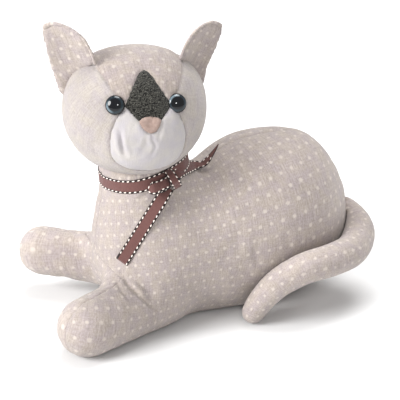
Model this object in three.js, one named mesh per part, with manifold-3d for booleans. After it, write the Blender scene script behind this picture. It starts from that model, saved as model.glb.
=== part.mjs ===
// A weighted fabric door stop: a stuffed cat that lies with its forelegs out, its head turned to its left
// and its tail laid along its left flank. It is sewn from printed linen over soft filling, stands on a
// stitched base panel, and holds a bag of sand low in its body. A stitched ribbon is tied round its neck.
// Millimetres, +Z up. The cat lies along X and faces -X, with its left flank towards -Y.
// The origin is on the floor, under the middle of the cat.
import * as THREE from "three";
import { mergeVertices } from "three/addons/utils/BufferGeometryUtils.js";
import Module from "manifold-3d";

const wasm = await Module();
wasm.setup();

const { clamp, degToRad, lerp } = THREE.MathUtils;
const vec = (x, y, z) => new THREE.Vector3(x, y, z);

// Driving dimensions
const SEAM_GAP = 0.4; // between neighbouring pieces, everywhere
const FACET = 9.5; // the grid that the body's stuffed form is drawn on
const HEAD_FACET = 9; // and the head's
const BODY_REACH = vec(170, 112, 190); // half of the grid's room: no point of the body lies outside it
const HEAD_REACH = vec(75, 80, 66);
const UNDER_FLOOR = 12; // where the body's grid begins

const RUMP = { at: vec(58, 0, 73.5), size: vec(80, 63, 78) };
const CHEST = { at: vec(-38, 0, 60), size: vec(55, 54, 64) };
const BELLY = { at: vec(8, 0, 58), size: vec(72, 55, 54) };
const SEAT = { at: vec(22, 0, 24), size: vec(78, 34, 32) };
const FILLING = 24; // how softly the stuffed forms run into one another
const NECK = { foot: vec(-44, 0, 70), top: vec(-53, 0, 138), footRadius: 44, topRadius: 36 };
const SAG = 5; // how softly a stuffed form rounds into the floor

const LEG = { root: 31, splay: 27 };
const NEAR_LEG = { ...LEG, side: -1, reach: 73, rootRadius: 28, pawRadius: 25, rise: 24, lift: 0 };
const FAR_LEG = { ...LEG, side: 1, reach: 77, rootRadius: 23, pawRadius: 22, rise: 29, lift: 8 };
const SHOULDER = -58; // where the forelegs begin

// its upper half is a little squarer than an ellipsoid, whose power is 2
const HEAD = { at: vec(-58, 0, 187), size: vec(60, 56, 53.5), square: 2.35, turn: -5, roll: 2.5 };
const MUZZLE_BULGE = { at: vec(0, -37, -11), size: vec(33, 27, 27) };
const HEAD_FILLING = 14;

// Panels sewn into the head: the right half of each outline [x, z], seen from the front of the head
const PANEL = 2.6; // how deep a panel of cloth and its backing lies in the head
const CORNER = [19.4, 20.8]; // where the brow, the bridge and the muzzle meet, under the eye
const NOSTRIL = [9.3, 12.8];
const BROW_TOP = [0, 45];
const NOSE_TIP = [0, 2];
const BROW = [CORNER, [26.5, 29.5], [31.5, 37.5], [36.5, 43]];
const MUZZLE = [CORNER, [28, 14], [32, 1.5], [32, -12], [27.5, -25], [16, -32.5], [0, -34.5]];
const CROWN = { top: 70, nape: -24, napeHalf: 25, backHalf: 36 }; // it runs over the top to the nape
const NOSE_STANDS = 1.4;

const EYE = { at: [25.7, 21.2], radius: 8, dome: 6, rim: 1.4, chamfer: 0.5, shank: 2, length: 14 };
const WASHER = { radius: 7, thickness: 1.4, depth: 9 };

const EAR = {
  foot: vec(-50, 5, 25), lean: 24, turn: 12, thickness: 6.4, cup: 7, fullHalf: 18,
  // how far up the ear, then its outer and its inner edge there
  outline: [
    [-16, -15, 19], [-4, -16, 21.5], [10, -15.5, 24.5], [25, -13.5, 26.5],
    [38, -10.5, 24.5], [48, -8, 17], [53.5, -5, 7],
  ],
};

const TAIL = {
  path: [
    vec(108, 0, 74), vec(134, -9, 67), vec(140, -31, 59), vec(124, -56, 53), vec(98, -70.5, 53),
    vec(69, -74.5, 51), vec(47, -70.5, 39), vec(33, -65.5, 22), vec(27, -63, 10.8),
  ],
  radius: 15, tipRadius: 10.5,
  slimming: 4, // how late along its length it gets slimmer
};

const RIBBON = { width: 10, thickness: 0.8, lies: 0.9 };
const BAND = { at: vec(-53, 0, 135.5), rise: 0.21, knotAt: -77, widest: 60 };
const KNOT = vec(8, 4.6, 6.4);
const KNOT_STANDS = 0.75; // of its own half depth, off the band
const LONG_END = [
  vec(-46, -40, 131), vec(-52, -41, 123), vec(-60, -42, 113), vec(-73, -41, 93), vec(-84, -36, 70),
];
const SHORT_END = [
  vec(-40, -43, 136), vec(-25, -34, 138), vec(-11, -24, 140.5), vec(2, -15, 145), vec(9, -9, 152),
];
const LOOP = { reach: 15, stands: 6, drop: 3, off: 1 };

const BASE = { at: vec(24, 0, 0), halfLength: 56, halfWidth: 22, thickness: 1.5 };
const BAG = { at: vec(26, 0, 27), size: vec(56, 33, 28) }; // the bag of sand

// Fields: each is negative inside its form and about the distance to it outside
function ball({ at, size, square = 2 }) {
  const q = vec();
  return (p) => {
    q.copy(p).sub(at).divide(size);
    const power = q.z > 0 ? square : 2;
    const across = (Math.abs(q.x) ** power + Math.abs(q.z) ** power) ** (1 / power);
    const outer = Math.hypot(across, q.y);
    const slope = q.divide(size).length();
    return slope < 1e-9 ? -Math.min(size.x, size.y, size.z) : (outer * (outer - 1)) / slope;
  };
}

function limb(points, radii) {
  const along = vec();
  const off = vec();
  return (p) => {
    let best = Infinity;
    for (let i = 0; i + 1 < points.length; i++) {
      along.subVectors(points[i + 1], points[i]);
      off.subVectors(p, points[i]);
      const t = clamp(off.dot(along) / along.lengthSq(), 0, 1);
      const far = off.addScaledVector(along, -t).length();
      best = Math.min(best, far - lerp(radii[i], radii[i + 1], t));
    }
    return best;
  };
}

function blend(a, b, soft) {
  const h = Math.max(soft - Math.abs(a - b), 0) / soft;
  return Math.min(a, b) - (h * h * soft) / 4;
}

const both = (fields, soft) => (p) => fields.map((f) => f(p)).reduce((a, b) => blend(a, b, soft));
const onFloor = (field, floor = 0) => (p) => -blend(-field(p), -(floor - p.z), SAG);

function meshOf(points, faces) {
  const flat = points.flatMap((p) => [p.x, p.y, p.z]);
  const geometry = new THREE.BufferGeometry();
  geometry.setAttribute("position", new THREE.Float32BufferAttribute(flat, 3));
  return geometry.setIndex(faces);
}

// Turns a field into one closed surface: a vertex in each grid cell that the surface crosses
function skin(field, low, high, cell) {
  const count = ["x", "y", "z"].map((k) => Math.ceil((high[k] - low[k]) / cell) + 1);
  const [nx, ny, nz] = count;
  const index = (i, j, k) => (k * ny + j) * nx + i;
  const point = (i, j, k) => vec(low.x + i * cell, low.y + j * cell, low.z + k * cell);
  const value = new Float64Array(nx * ny * nz);
  for (let k = 0; k < nz; k++)
    for (let j = 0; j < ny; j++) for (let i = 0; i < nx; i++) value[index(i, j, k)] = field(point(i, j, k));

  const corners = [0, 1, 2, 3, 4, 5, 6, 7].map((c) => [c & 1, (c >> 1) & 1, c >> 2]);
  const edges = [];
  for (let a = 0; a < 8; a++) for (const bit of [1, 2, 4]) if (!(a & bit)) edges.push([a, a | bit]);

  const vertex = new Int32Array(value.length).fill(-1);
  const places = [];
  for (let k = 0; k + 1 < nz; k++)
    for (let j = 0; j + 1 < ny; j++)
      for (let i = 0; i + 1 < nx; i++) {
        const at = corners.map(([a, b, c]) => value[index(i + a, j + b, k + c)]);
        const sum = vec();
        let crossed = 0;
        for (const [a, b] of edges) {
          if (at[a] < 0 === at[b] < 0) continue;
          const t = at[a] / (at[a] - at[b]);
          sum.x += lerp(corners[a][0], corners[b][0], t);
          sum.y += lerp(corners[a][1], corners[b][1], t);
          sum.z += lerp(corners[a][2], corners[b][2], t);
          crossed++;
        }
        if (!crossed) continue;
        vertex[index(i, j, k)] = places.length;
        places.push(settle(field, point(i, j, k).addScaledVector(sum, cell / crossed), cell / 2));
      }

  const faces = [];
  const quad = (a, b, c, d, flip) => {
    const [p, q, r, s] = flip ? [a, d, c, b] : [a, b, c, d];
    if (places[p].distanceTo(places[r]) < places[q].distanceTo(places[s])) faces.push(p, q, r, p, r, s);
    else faces.push(p, q, s, q, r, s);
  };
  for (let k = 1; k + 1 < nz; k++)
    for (let j = 1; j + 1 < ny; j++)
      for (let i = 1; i + 1 < nx; i++) {
        const inside = value[index(i, j, k)] < 0;
        const cellAt = (a, b, c) => vertex[index(i - a, j - b, k - c)];
        if (inside !== value[index(i + 1, j, k)] < 0)
          quad(cellAt(0, 1, 1), cellAt(0, 0, 1), cellAt(0, 0, 0), cellAt(0, 1, 0), !inside);
        if (inside !== value[index(i, j + 1, k)] < 0)
          quad(cellAt(1, 0, 1), cellAt(1, 0, 0), cellAt(0, 0, 0), cellAt(0, 0, 1), !inside);
        if (inside !== value[index(i, j, k + 1)] < 0)
          quad(cellAt(1, 1, 0), cellAt(0, 1, 0), cellAt(0, 0, 0), cellAt(1, 0, 0), !inside);
      }
  return meshOf(places, faces);
}

const SLOPE_STEP = 0.2;
function slopeAt(field, p) {
  const slope = vec();
  const q = vec();
  for (const k of ["x", "y", "z"]) {
    q.copy(p)[k] += SLOPE_STEP;
    slope[k] = field(q);
    q[k] -= 2 * SLOPE_STEP;
    slope[k] = (slope[k] - field(q)) / (2 * SLOPE_STEP);
  }
  return slope;
}

// Moves a point onto the surface of a field, or onto the surface that lies a distance off it
function settle(field, p, most = Infinity, off = 0) {
  const start = p.clone();
  for (let i = 0; i < 4; i++) {
    const slope = slopeAt(field, p);
    p.addScaledVector(slope, (off - field(p)) / Math.max(slope.lengthSq(), 0.05));
    const moved = p.clone().sub(start);
    if (moved.length() > most) p.copy(start).addScaledVector(moved, most / moved.length());
  }
  return p;
}

// The body, with its neck and forelegs
function foreleg({ side, root, splay, reach, rootRadius, pawRadius, rise, lift }) {
  const away = degToRad(splay);
  const paw = vec(SHOULDER - reach * Math.cos(away), side * (root + reach * Math.sin(away)), rise + lift);
  return limb([vec(SHOULDER, side * root, rise), paw], [rootRadius, pawRadius]);
}

const torso = both(
  [
    ball(RUMP),
    ball(CHEST),
    ball(BELLY),
    ball(SEAT),
    limb([NECK.foot, NECK.top], [NECK.footRadius, NECK.topRadius]),
    both([foreleg(NEAR_LEG), foreleg(FAR_LEG)], 1),
  ],
  FILLING,
);
const bodyField = onFloor(torso);

// The head, in its own frame: it faces -Y
const skull = both([ball({ ...HEAD, at: vec(0, 0, 0) }), ball(MUZZLE_BULGE)], HEAD_FILLING);
const headPose = new THREE.Matrix4().compose(
  HEAD.at,
  new THREE.Quaternion().setFromEuler(
    new THREE.Euler(0, degToRad(HEAD.roll), degToRad(HEAD.turn), "ZYX"),
  ),
  vec(1, 1, 1),
);
const toHead = headPose.clone().invert();
const headField = (p) => skull(p.clone().applyMatrix4(toHead));

// Solids: a geometry becomes a solid, faces out, and a solid becomes a geometry again
function solid(geometry) {
  geometry.deleteAttribute("normal");
  geometry.deleteAttribute("uv");
  const merged = mergeVertices(geometry, 1e-3);
  const vertProperties = new Float32Array(merged.attributes.position.array);
  const made = (flip) => {
    const triVerts = [];
    for (let i = 0; i < merged.index.count; i += 3) {
      const [a, b, c] = merged.index.array.subarray(i, i + 3);
      if (a !== b && b !== c && c !== a) triVerts.push(...(flip ? [c, b, a] : [a, b, c]));
    }
    const mesh = new wasm.Mesh({ numProp: 3, vertProperties, triVerts: new Uint32Array(triVerts) });
    return new wasm.Manifold(mesh);
  };
  const first = made(false);
  return first.volume() > 0 ? first : made(true);
}

function surface(made) {
  const { vertProperties, numProp, numVert, triVerts } = made.getMesh();
  const position = new Float32Array(numVert * 3);
  for (let i = 0; i < numVert; i++)
    position.set(vertProperties.subarray(i * numProp, i * numProp + 3), i * 3);
  const geometry = new THREE.BufferGeometry();
  geometry.setAttribute("position", new THREE.BufferAttribute(position, 3));
  return geometry.setIndex(new THREE.BufferAttribute(new Uint32Array(triVerts), 1));
}

// The same facets, each corner moved onto the surface that lies a distance off the field's own
function shifted(geometry, field, off) {
  const moved = geometry.clone();
  const position = moved.attributes.position;
  for (let i = 0; i < position.count; i++) {
    const p = settle(field, vec().fromBufferAttribute(position, i), Infinity, off);
    position.setXYZ(i, p.x, p.y, p.z);
  }
  return moved;
}

// A closed body through rings of points, capped at its ends or joined end to end
function loft(rings, closed = false) {
  const size = rings[0].length;
  const points = rings.flat();
  const faces = [];
  const last = closed ? rings.length : rings.length - 1;
  for (let i = 0; i < last; i++)
    for (let j = 0; j < size; j++) {
      const [a, b] = [i * size + j, i * size + ((j + 1) % size)];
      const [c, d] = [a, b].map((n) => (n + size) % (rings.length * size));
      faces.push(a, b, d, a, d, c);
    }
  if (!closed)
    for (let j = 1; j + 1 < size; j++) {
      const end = (rings.length - 1) * size;
      faces.push(0, j + 1, j, end, end + j, end + j + 1);
    }
  return meshOf(points, faces);
}

// Moves every side of an outline outwards; a negative distance moves it inwards
function outset(outline, distance) {
  const area = outline.reduce((sum, [x, z], i) => {
    const [u, w] = outline[(i + 1) % outline.length];
    return sum + (x * w - u * z) / 2;
  }, 0);
  const away = Math.sign(area) * distance;
  return outline.map((here, i) => {
    const before = new THREE.Vector2(...outline.at(i - 1));
    const after = new THREE.Vector2(...outline[(i + 1) % outline.length]);
    const at = new THREE.Vector2(...here);
    const comes = at.clone().sub(before).normalize();
    const goes = after.sub(at).normalize();
    const turn = 1 + comes.dot(goes);
    return [at.x + ((comes.y + goes.y) * away) / turn, at.y - ((comes.x + goes.x) * away) / turn];
  });
}

const REACH = 95; // further than any point of the head from its middle
const OVERLAP = 1; // the front and the back of the crown are one piece of cloth
function prism(outline, y0, y1) {
  const shape = new THREE.Shape(outline.map(([x, z]) => new THREE.Vector2(x, z)));
  const made = new THREE.ExtrudeGeometry(shape, { depth: y1 - y0, bevelEnabled: false, curveSegments: 24 });
  return solid(made.rotateX(Math.PI / 2).translate(0, y1, 0));
}

// The left half of an outline is the mirror image of its right half, which runs from the top or the bottom
function mirrored(right) {
  const left = right.filter(([x]) => x !== 0).map(([x, z]) => [-x, z]);
  return [...right, ...left.reverse()];
}
const { top, nape, napeHalf, backHalf } = CROWN;
const crownFront = mirrored([BROW_TOP, ...BROW, [backHalf, top]]);
const crownBack = mirrored([[backHalf, top], BROW.at(-1), [napeHalf, nape]]);
const bridge = mirrored([BROW_TOP, CORNER, NOSTRIL]);
const nose = mirrored([NOSE_TIP, NOSTRIL]);
const muzzle = mirrored([NOSE_TIP, NOSTRIL, ...MUZZLE]);
const region = (outline, grow) => prism(outset(outline, grow), -REACH, grow);
const crownRegion = (grow) =>
  region(crownFront, grow).add(prism(outset(crownBack, grow), -OVERLAP - grow, REACH));

const headSkin = skin(skull, HEAD_REACH.clone().negate(), HEAD_REACH, HEAD_FACET);
const headSolid = solid(headSkin.clone());
const headAround = solid(shifted(headSkin, skull, SEAM_GAP));
const headWorld = solid(shifted(headSkin, skull, SEAM_GAP).applyMatrix4(headPose));
const underPanels = solid(shifted(headSkin, skull, -PANEL));
const panelFloor = solid(shifted(headSkin, skull, -PANEL - SEAM_GAP));
const noseAround = solid(shifted(headSkin, skull, NOSE_STANDS));
const half = SEAM_GAP / 2;

// An eye: a glossy dome on a shank, which a washer holds from inside the head
function spot([x, z]) {
  const p = vec(x, -REACH, z);
  while (skull(p) > 0.01) p.y += Math.max(skull(p) * 0.5, 0.01);
  const turn = new THREE.Quaternion().setFromUnitVectors(vec(0, 1, 0), slopeAt(skull, p).normalize());
  return new THREE.Matrix4().compose(p, turn, vec(1, 1, 1));
}
function turned(profile, sides = 20) {
  return new THREE.LatheGeometry(profile.map(([r, y]) => new THREE.Vector2(r, y)), sides);
}
const EYE_SINKS = 0.7; // its flat back lies this far below the cloth
function eye() {
  const { radius, dome, rim, chamfer, shank, length } = EYE;
  const foot = -EYE_SINKS;
  const arc = [0, 18, 36, 54, 72, 90].map(degToRad);
  return turned([
    [0, foot - length],
    [shank, foot - length],
    [shank, foot],
    [radius - chamfer, foot],
    [radius, foot + chamfer],
    ...arc.map((t) => [radius * Math.cos(t), rim + (dome - rim) * Math.sin(t)]),
  ]);
}
function washer() {
  const inner = EYE.shank + SEAM_GAP;
  const low = -WASHER.depth;
  const high = low + WASHER.thickness;
  return turned([[inner, low], [WASHER.radius, low], [WASHER.radius, high], [inner, high], [inner, low]]);
}
function eyeRoom() {
  const wide = EYE.radius + SEAM_GAP;
  const bore = EYE.shank + SEAM_GAP;
  const room = WASHER.radius + SEAM_GAP;
  const low = -WASHER.depth - SEAM_GAP;
  const high = -WASHER.depth + WASHER.thickness + SEAM_GAP;
  const end = -EYE_SINKS - EYE.length - SEAM_GAP;
  const foot = -EYE_SINKS - SEAM_GAP;
  const out = EYE.radius * 2;
  return turned([
    [0, end], [bore, end],
    [bore, low], [room, low], [room, high], [bore, high],
    [bore, foot], [wide, foot], [wide, out], [0, out],
  ]);
}
const eyeSpots = { left: spot([-EYE.at[0], EYE.at[1]]), right: spot(EYE.at) };
const eyeRooms = Object.values(eyeSpots).map((at) => solid(eyeRoom().applyMatrix4(at)));
const withoutEyes = (made) => eyeRooms.reduce((left, room) => left.subtract(room), made);

const panel = (cut, top = headSolid) => withoutEyes(top.subtract(underPanels).intersect(cut));
const pocket = [crownRegion(half), region(bridge, half), region(nose, half), region(muzzle, half)]
  .reduce((a, b) => a.add(b))
  .subtract(panelFloor);

// An ear: a padded leaf, cupped towards the front, that leans outwards
function ear(side) {
  const { foot, lean, turn, thickness, cup, fullHalf, outline } = EAR;
  const at = (k, t) => new THREE.CatmullRomCurve3(outline.map((row) => vec(...row))).getPoint(t)[k];
  const rows = 12;
  const around = 14;
  const rings = Array.from({ length: rows + 1 }, (_, i) => {
    const t = i / rows;
    const [up, outer, inner] = [at("x", t), at("y", t), at("z", t)];
    const reach = (inner - outer) / 2;
    return Array.from({ length: around }, (_, j) => {
      const a = (j / around) * 2 * Math.PI;
      const across = (outer + inner) / 2 + reach * Math.cos(a);
      const bend = -cup * (Math.cos(a) ** 2 - 0.4) * (reach / fullHalf);
      const pad = Math.sign(Math.sin(a)) * Math.abs(Math.sin(a)) ** 0.7 * Math.sqrt(reach / fullHalf);
      return vec(across, bend + (pad * thickness) / 2, up);
    });
  });
  return loft(rings)
    .rotateZ(degToRad(-turn))
    .rotateY(degToRad(-lean))
    .translate(...foot)
    .applyMatrix4(new THREE.Matrix4().makeScale(side, 1, 1));
}

// The tail
function tail() {
  const curve = new THREE.CatmullRomCurve3(TAIL.path);
  const steps = 26;
  const around = 14;
  const frames = curve.computeFrenetFrames(steps);
  const rings = [];
  for (let i = 0; i <= steps; i++) {
    const t = i / steps;
    const r = lerp(TAIL.radius, TAIL.tipRadius, t ** TAIL.slimming);
    rings.push(ringAt(curve.getPointAt(t), frames.normals[i], frames.binormals[i], r, around));
  }
  const tip = curve.getPointAt(1);
  for (const a of [30, 55, 75]) {
    const p = tip.clone().addScaledVector(frames.tangents[steps], TAIL.tipRadius * Math.sin(degToRad(a)));
    const r = TAIL.tipRadius * Math.cos(degToRad(a));
    rings.push(ringAt(p, frames.normals[steps], frames.binormals[steps], r, around));
  }
  return loft(rings);
}
function ringAt(at, u, v, radius, count) {
  return Array.from({ length: count }, (_, j) => {
    const a = (j / count) * 2 * Math.PI;
    return at.clone().addScaledVector(u, radius * Math.cos(a)).addScaledVector(v, radius * Math.sin(a));
  });
}

// The ribbon, laid on the body and the head
const wrapped = (p) => Math.min(bodyField(p), headField(p));
function laid(p) {
  return wrapped(p) < RIBBON.lies ? settle(wrapped, p, Infinity, RIBBON.lies) : p;
}

function strip(points, sides, closed = false) {
  const count = points.length;
  const rings = points.map((p, i) => {
    const before = closed ? points.at(i - 1) : points[Math.max(i - 1, 0)];
    const after = closed ? points[(i + 1) % count] : points[Math.min(i + 1, count - 1)];
    const out = vec().subVectors(after, before).cross(sides[i]).normalize().multiplyScalar(RIBBON.thickness);
    const low = laid(p.clone().addScaledVector(sides[i], -RIBBON.width / 2));
    const high = laid(p.clone().addScaledVector(sides[i], RIBBON.width / 2));
    return [low, high, high.clone().add(out), low.clone().add(out)];
  });
  return solid(loft(rings, closed));
}

function bandRadius(out, up) {
  let most = 0;
  for (const h of [-0.5, -0.25, 0, 0.25, 0.5]) {
    const p = vec();
    let r = BAND.widest;
    do {
      r -= 0.25;
      p.copy(BAND.at).addScaledVector(out, r).addScaledVector(up, h * RIBBON.width);
    } while (wrapped(p) > RIBBON.lies);
    most = Math.max(most, r);
  }
  return most;
}
const bandUp = vec(-BAND.rise, 0, 1).normalize();
function bandOut(degrees) {
  const a = degToRad(degrees);
  const out = vec(Math.cos(a), Math.sin(a), 0);
  return out.addScaledVector(bandUp, -out.dot(bandUp)).normalize();
}
function band() {
  const count = 40;
  const outs = Array.from({ length: count }, (_, i) => bandOut((i / count) * 360));
  const radii = outs.map((out) => bandRadius(out, bandUp));
  const smooth = radii.map((r, i) => Math.max(r, (radii.at(i - 1) + radii[(i + 1) % count]) / 2));
  const points = outs.map((out, i) => BAND.at.clone().addScaledVector(out, smooth[i]));
  return strip(points, outs.map(() => bandUp), true);
}

const knotOut = bandOut(BAND.knotAt);
const knotReach = bandRadius(knotOut, bandUp) + KNOT.y * KNOT_STANDS;
const knotMiddle = BAND.at.clone().addScaledVector(knotOut, knotReach);
const knotAlong = vec().crossVectors(bandUp, knotOut);
function knot() {
  const turn = new THREE.Matrix4().makeBasis(knotAlong, knotOut, bandUp).setPosition(knotMiddle);
  return solid(new THREE.SphereGeometry(1, 14, 9).scale(KNOT.x, KNOT.y, KNOT.z).applyMatrix4(turn));
}

function end(path, sideAt) {
  const curve = new THREE.CatmullRomCurve3([knotMiddle, ...path]);
  const steps = 18;
  const points = curve.getSpacedPoints(steps);
  const sides = points.map((p, i) => sideAt(p, curve.getTangentAt(i / steps), i / steps));
  return strip(points, sides);
}
const longEnd = () => end(LONG_END, (p, along) => slopeAt(wrapped, p).cross(along).normalize());
const shortEnd = () =>
  end(SHORT_END, (p, along, t) => {
    const lean = vec(-0.5 * t, 0.5 * t, 1);
    return lean.addScaledVector(along, -lean.dot(along)).normalize();
  });
function loop() {
  const count = 16;
  const points = Array.from({ length: count }, (_, i) => {
    const a = (i / count) * 2 * Math.PI;
    return knotMiddle
      .clone()
      .addScaledVector(knotAlong, (-LOOP.reach * (1 + Math.cos(a))) / 2)
      .addScaledVector(knotOut, (LOOP.stands * Math.sin(a)) / 2 + LOOP.off)
      .addScaledVector(bandUp, (-LOOP.drop * (1 + Math.cos(a))) / 2);
  });
  return strip(points, points.map(() => bandUp), true);
}

// The base panel, and the bag of sand over it
const oval = (grow, depth) => {
  const shape = new THREE.Shape();
  shape.absellipse(BASE.at.x, BASE.at.y, BASE.halfLength + grow, BASE.halfWidth + grow, 0, 2 * Math.PI);
  return solid(new THREE.ExtrudeGeometry(shape, { depth, bevelEnabled: false, curveSegments: 24 }));
};
const roomTop = BASE.thickness + SEAM_GAP;
function bag(grow) {
  const geometry = new THREE.SphereGeometry(1, 22, 13).rotateX(Math.PI / 2);
  geometry.scale(BAG.size.x + grow, BAG.size.y + grow, BAG.size.z + grow).translate(...BAG.at);
  const wide = 4 * BAG.size.x;
  const flat = new THREE.BoxGeometry(wide, wide, wide).translate(0, 0, roomTop + SEAM_GAP - grow - wide / 2);
  return solid(geometry).subtract(solid(flat));
}

const bodyGridFoot = vec(-BODY_REACH.x, -BODY_REACH.y, -UNDER_FLOOR);
const bodySkin = skin(bodyField, bodyGridFoot, BODY_REACH, FACET);
const bodyAround = solid(shifted(bodySkin, bodyField, SEAM_GAP));
const tailSolid = solid(tail()).subtract(bodyAround);
const ribbonSolid = [band(), knot(), longEnd(), shortEnd(), loop()].reduce((a, b) => a.add(b));
const baseRoom = oval(SEAM_GAP, roomTop + UNDER_FLOOR).translate(0, 0, -UNDER_FLOOR);
const BAG_GAP = 1.2 * SEAM_GAP; // its facets cut corners
const body = solid(bodySkin.clone()).subtract(headWorld).subtract(baseRoom).subtract(bag(BAG_GAP));

const whole = new THREE.Group();
const head = new THREE.Group();
head.applyMatrix4(headPose);
whole.add(head);

function add(parent, name, geometry, color, roughness = 0.95) {
  const mesh = new THREE.Mesh(geometry, new THREE.MeshStandardMaterial({ color, roughness, metalness: 0 }));
  mesh.name = name;
  parent.add(mesh);
}

add(whole, "body", surface(body), "#c8bbb2");
add(whole, "base_panel", surface(oval(0, BASE.thickness)), "#b9aca2");
add(whole, "weight_bag", surface(bag(0)), "#c9b48c");
add(whole, "tail", surface(tailSolid), "#c8bbb2");
add(whole, "ribbon", surface(ribbonSolid), "#78504c", 0.7);

add(head, "head", surface(withoutEyes(headSolid.subtract(pocket))), "#e1d7d0");
add(head, "crown_panel", surface(panel(crownRegion(-half))), "#c8bbb2");
add(head, "bridge_panel", surface(panel(region(bridge, -half))), "#4a4540");
add(head, "muzzle_panel", surface(panel(region(muzzle, -half))), "#dedad8");
add(head, "nose", surface(panel(region(nose, -half), noseAround)), "#cdb2a8");
for (const [side, at] of Object.entries(eyeSpots)) {
  add(head, `eye_${side}`, surface(solid(eye().applyMatrix4(at))), "#0c0f14", 0.08);
  add(head, `eye_washer_${side}`, surface(solid(washer().applyMatrix4(at))), "#e8e8e6", 0.5);
}
add(head, "ear_left", surface(solid(ear(1)).subtract(headAround)), "#c8bbb2");
add(head, "ear_right", surface(solid(ear(-1)).subtract(headAround)), "#c8bbb2");

// The origin is on the floor, under the middle of the whole
const middle = new THREE.Box3().setFromObject(whole, true).getCenter(vec());
whole.position.set(-middle.x, -middle.y, 0);

export default whole;
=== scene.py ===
"""The looks of a weighted fabric door stop: a stuffed cat in printed linen, with a patched face, glossy eyes
and a ribbon with saddle stitches. Metres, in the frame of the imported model; outlines are in millimetres."""
import math
from contextlib import contextmanager

import bmesh
import bpy
import numpy as np
from mathutils import Matrix, Vector, noise
from mathutils.bvhtree import BVHTree
from mathutils.kdtree import KDTree


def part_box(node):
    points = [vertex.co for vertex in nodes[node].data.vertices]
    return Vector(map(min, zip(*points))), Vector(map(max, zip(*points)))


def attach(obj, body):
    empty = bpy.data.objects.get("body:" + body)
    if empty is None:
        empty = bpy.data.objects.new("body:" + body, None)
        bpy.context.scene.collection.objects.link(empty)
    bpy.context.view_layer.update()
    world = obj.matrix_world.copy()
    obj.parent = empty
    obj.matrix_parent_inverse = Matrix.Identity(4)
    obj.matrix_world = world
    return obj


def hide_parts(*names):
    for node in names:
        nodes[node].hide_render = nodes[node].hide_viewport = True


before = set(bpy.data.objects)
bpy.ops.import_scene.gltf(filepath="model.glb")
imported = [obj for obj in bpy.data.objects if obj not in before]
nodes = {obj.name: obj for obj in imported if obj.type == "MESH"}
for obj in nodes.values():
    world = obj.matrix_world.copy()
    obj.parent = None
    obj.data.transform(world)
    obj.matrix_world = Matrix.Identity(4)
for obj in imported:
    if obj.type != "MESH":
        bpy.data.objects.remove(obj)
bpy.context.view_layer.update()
scene = bpy.context.scene
MM = 0.001  # in metres

# The camera, where the photograph was taken from
AZIMUTH, ELEVATION, DISTANCE = math.radians(-20), math.radians(24), 1.3
AIM = Vector((-0.003, 0, 0.095))
LENS, SENSOR = 133.4, 36  # focal length and sensor width, in millimetres
PICTURE = 400  # the photograph's width in pixels
back = Vector(
    (
        math.sin(AZIMUTH) * math.cos(ELEVATION),
        -math.cos(AZIMUTH) * math.cos(ELEVATION),
        math.sin(ELEVATION),
    )
)
camera = bpy.data.objects.new("camera", bpy.data.cameras.new("camera"))
scene.collection.objects.link(camera)
camera.data.lens, camera.data.sensor_width = LENS, SENSOR
camera.location = AIM + back * DISTANCE
camera.rotation_mode = "QUATERNION"
camera.rotation_quaternion = (-back).to_track_quat("-Z", "Y")
scene.camera = camera
scene.view_settings.view_transform = "Standard"

# Shift from the frame that outlines are drawn in, where the base panel's middle is at BASE_AT, to the model's
BASE_AT = (24, 0)
base_low, base_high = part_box("base_panel")
SHIFT = Vector(((base_low.x + base_high.x) / 2 - BASE_AT[0] * MM, (base_low.y + base_high.y) / 2, 0))


def spot(x, y, z):
    """A point in the model's frame, from millimetres in the drawing's."""
    return Vector((x, y, z)) * MM + SHIFT


# Meshes as arrays
def add_object(name, mesh):
    obj = bpy.data.objects.new(name, mesh)
    scene.collection.objects.link(obj)
    return obj


def read(mesh, what="co"):
    values = np.empty(len(mesh.vertices) * 3)
    mesh.vertices.foreach_get(what, values)
    return values.reshape(-1, 3)


def write(mesh, places):
    mesh.vertices.foreach_set("co", np.asarray(places, float).ravel())
    mesh.update()


def edge_ends(mesh):
    ends = np.empty(len(mesh.edges) * 2, np.int64)
    mesh.edges.foreach_get("vertices", ends)
    return ends.reshape(-1, 2)


def settle_modifiers(obj):
    """Puts what the modifiers make into the object's own mesh."""
    bpy.context.view_layer.update()
    graph = bpy.context.evaluated_depsgraph_get()
    made = bpy.data.meshes.new_from_object(obj.evaluated_get(graph))
    obj.modifiers.clear()
    obj.data = made
    return obj


def mesh_from(name, places, faces):
    mesh = bpy.data.meshes.new(name)
    mesh.from_pydata([tuple(p) for p in places], [], faces)
    mesh.update()
    return mesh


@contextmanager
def editing(mesh):
    """The mesh, open for cutting and joining."""
    bm = bmesh.new()
    bm.from_mesh(mesh)
    yield bm
    bm.to_mesh(mesh)
    bm.free()


SMOOTHING = (0.6, -0.62)  # in, then out by a little more, so that the form doesn't shrink


def smoothed(places, ends, rounds):
    """Evens out facets without shrinking the form."""
    count = np.bincount(ends.ravel(), minlength=len(places))[:, None]
    for _ in range(rounds):
        for share in SMOOTHING:
            total = np.zeros_like(places)
            for k in range(3):
                total[:, k] = np.bincount(ends[:, 0], places[ends[:, 1], k], len(places))
                total[:, k] += np.bincount(ends[:, 1], places[ends[:, 0], k], len(places))
            places = places + share * (total / np.maximum(count, 1) - places)
    return places


def largest_part(bm):
    """Drops all but the largest connected part."""
    left, parts = set(bm.verts), []
    while left:
        first = left.pop()
        part, edge = {first}, [first]
        while edge:
            for e in edge.pop().link_edges:
                for v in e.verts:
                    if v not in part:
                        part.add(v)
                        edge.append(v)
        left -= part
        parts.append(part)
    parts.sort(key=len)
    bmesh.ops.delete(bm, geom=[v for part in parts[:-1] for v in part], context="VERTS")


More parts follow.
